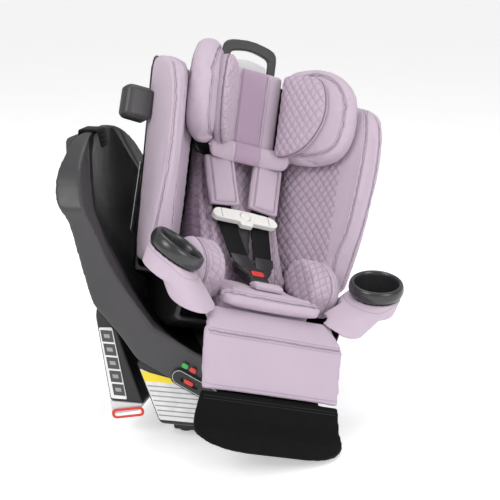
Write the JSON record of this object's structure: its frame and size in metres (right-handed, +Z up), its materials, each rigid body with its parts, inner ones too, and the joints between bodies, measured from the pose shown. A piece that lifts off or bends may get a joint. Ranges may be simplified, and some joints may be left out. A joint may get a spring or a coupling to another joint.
{
  "type": "convertible car seat",
  "caption": "Rotating convertible car seat on a scooped base: padded shell with winged headrest, harness, chest clip, buckle, side cup holders and leg rest.",
  "frame": {"origin": "on the ground plane under the middle of the bounding box", "axes": "+Z up, +X the way the base faces away from its tall rear wall, +Y across the base towards the far side"},
  "size_m": [0.6102, 0.6938, 0.6906],
  "materials": {
    "lavender_fabric": "soft knitted cover, matt",
    "quilted_fabric": "diamond-stitched cover, matt",
    "satin_fabric": "smooth satin-like cover",
    "black_fabric": "smooth black fabric, slight sheen",
    "webbing": "woven harness webbing",
    "charcoal_plastic": "fine-textured moulded plastic",
    "interior_plastic": "dark moulded plastic",
    "black_plastic": "textured moulded plastic",
    "rim_plastic": "semi-matt moulded plastic",
    "pale_plastic": "pale grey moulded plastic",
    "ivory_plastic": "smooth moulded plastic",
    "red_plastic": "smooth moulded plastic",
    "green_plastic": "smooth moulded plastic",
    "rubber": "moulded rubber",
    "steel": "plain steel strip",
    "label": "printed film"
  },
  "bodies": {
    "base": {"scoop_shell": "charcoal_plastic", "bowl_liner": "interior_plastic", "base_foot": "black_plastic", "rubber_foot_front_left": "rubber", "rubber_foot_front_right": "rubber", "rubber_foot_rear_left": "rubber", "rubber_foot_rear_right": "rubber", "rear_leg": "black_plastic", "rear_leg_cap": "pale_plastic", "foot_label": "label", "leg_label": "label", "indicator_panel": "black_plastic", "light_locked": "green_plastic", "light_unlocked": "red_plastic", "tether_strap": "webbing", "tether_adjuster": "charcoal_plastic", "bearing_ring": "steel"},
    "lock_slider": {"lock_slider": "red_plastic"},
    "release_loop": {"release_loop": "red_plastic"},
    "turntable": {"turntable": "black_plastic", "recline_rail_left": "charcoal_plastic", "recline_rail_right": "charcoal_plastic"},
    "seat": {"harness_strap_left": "webbing", "harness_strap_right": "webbing", "buckle": "black_plastic", "shell_label": "label", "seat_shell": "black_plastic", "recline_runner": "steel", "seat_cushion": "lavender_fabric", "thigh_bolster_left": "quilted_fabric", "thigh_bolster_right": "quilted_fabric", "back_pad": "quilted_fabric", "side_pad_left": "lavender_fabric", "side_pad_right": "lavender_fabric", "cup_cover_left": "lavender_fabric", "cup_cover_right": "lavender_fabric", "crotch_pad": "lavender_fabric", "leg_panel": "lavender_fabric"},
    "headrest": {"shoulder_pad_left": "lavender_fabric", "shoulder_pad_right": "lavender_fabric", "headrest_shell": "black_plastic", "headrest_panel": "satin_fabric", "headrest_lobe_left": "lavender_fabric", "headrest_lobe_right": "lavender_fabric", "headrest_pillow_left": "quilted_fabric", "headrest_pillow_right": "quilted_fabric", "headrest_handle": "charcoal_plastic"},
    "headrest_release": {"headrest_release": "pale_plastic"},
    "leg_extension": {"leg_extension": "black_fabric"},
    "chest_clip": {"chest_clip": "ivory_plastic"},
    "clip_button": {"clip_button": "ivory_plastic"},
    "buckle_button": {"buckle_button": "red_plastic"},
    "recline_lever": {"recline_lever": "rim_plastic"},
    "impact_pod_left": {"impact_pod_left": "charcoal_plastic"},
    "impact_pod_right": {"impact_pod_right": "charcoal_plastic"},
    "cup_holder_left": {"cup_holder_left": "rim_plastic"},
    "cup_holder_right": {"cup_holder_right": "rim_plastic"}
  },
  "joints": [
    {"name": "seat_rotation", "type": "hinge", "parent": "base", "child": "turntable", "pos_m": [-0.01436, -0.04272, 0.12546], "axis": [0.342, 0, 0.9397], "range_deg": [-34, 146]},
    {"name": "recline", "type": "hinge", "parent": "turntable", "child": "seat", "pos_m": [0.06698, 0.00702, 0.44704], "axis": [0.779, 0.5592, -0.2835], "range_deg": [-8, 0]},
    {"name": "headrest_height", "type": "slide", "parent": "seat", "child": "headrest", "axis": [0.0335, 0.4145, 0.9094], "range_m": [0, 0.08]},
    {"name": "headrest_release_squeeze", "type": "slide", "parent": "headrest", "child": "headrest_release", "axis": [0.0335, 0.4145, 0.9094], "range_m": [0, 0.006], "stiffness_N_per_m": 800},
    {"name": "leg_extension_pull", "type": "slide", "parent": "seat", "child": "leg_extension", "axis": [0.0462, -0.5022, -0.8635], "range_m": [0, 0.045]},
    {"name": "chest_clip_slide", "type": "slide", "parent": "seat", "child": "chest_clip", "axis": [0.3507, -0.7635, -0.5422], "range_m": [0, 0.035]},
    {"name": "clip_button_press", "type": "slide", "parent": "chest_clip", "child": "clip_button", "axis": [-0.5201, 0.3239, -0.7903], "range_m": [0, 0.002], "stiffness_N_per_m": 800},
    {"name": "buckle_button_press", "type": "slide", "parent": "seat", "child": "buckle_button", "axis": [-0.4281, 0.144, -0.8922], "range_m": [0, 0.003], "stiffness_N_per_m": 1200},
    {"name": "recline_lever_pull", "type": "slide", "parent": "seat", "child": "recline_lever", "axis": [0.5255, -0.829, -0.1913], "range_m": [0, 0.009], "stiffness_N_per_m": 600},
    {"name": "impact_pod_left_swing", "type": "hinge", "parent": "seat", "child": "impact_pod_left", "pos_m": [0.17469, 0.25948, 0.43321], "axis": [0.0335, 0.4145, 0.9094], "range_deg": [-119, 0]},
    {"name": "impact_pod_right_swing", "type": "hinge", "parent": "seat", "child": "impact_pod_right", "pos_m": [-0.18212, 0.00337, 0.56307], "axis": [0.0335, 0.4145, 0.9094], "range_deg": [-119, 0]},
    {"name": "cup_holder_left_lift", "type": "slide", "parent": "seat", "child": "cup_holder_left", "axis": [0.0845, -0.1728, 0.9813], "range_m": [0, 0.085]},
    {"name": "cup_holder_right_lift", "type": "slide", "parent": "seat", "child": "cup_holder_right", "axis": [0.566, 0.1728, 0.8061], "range_m": [0, 0.085]},
    {"name": "lock_slide", "type": "slide", "parent": "base", "child": "lock_slider", "axis": [0.8961, 0, -0.4439], "range_m": [-0.004, 0.007]},
    {"name": "release_loop_pull", "type": "slide", "parent": "base", "child": "release_loop", "axis": [0, -1, 0], "range_m": [0, 0.012], "stiffness_N_per_m": 500}
  ]
}
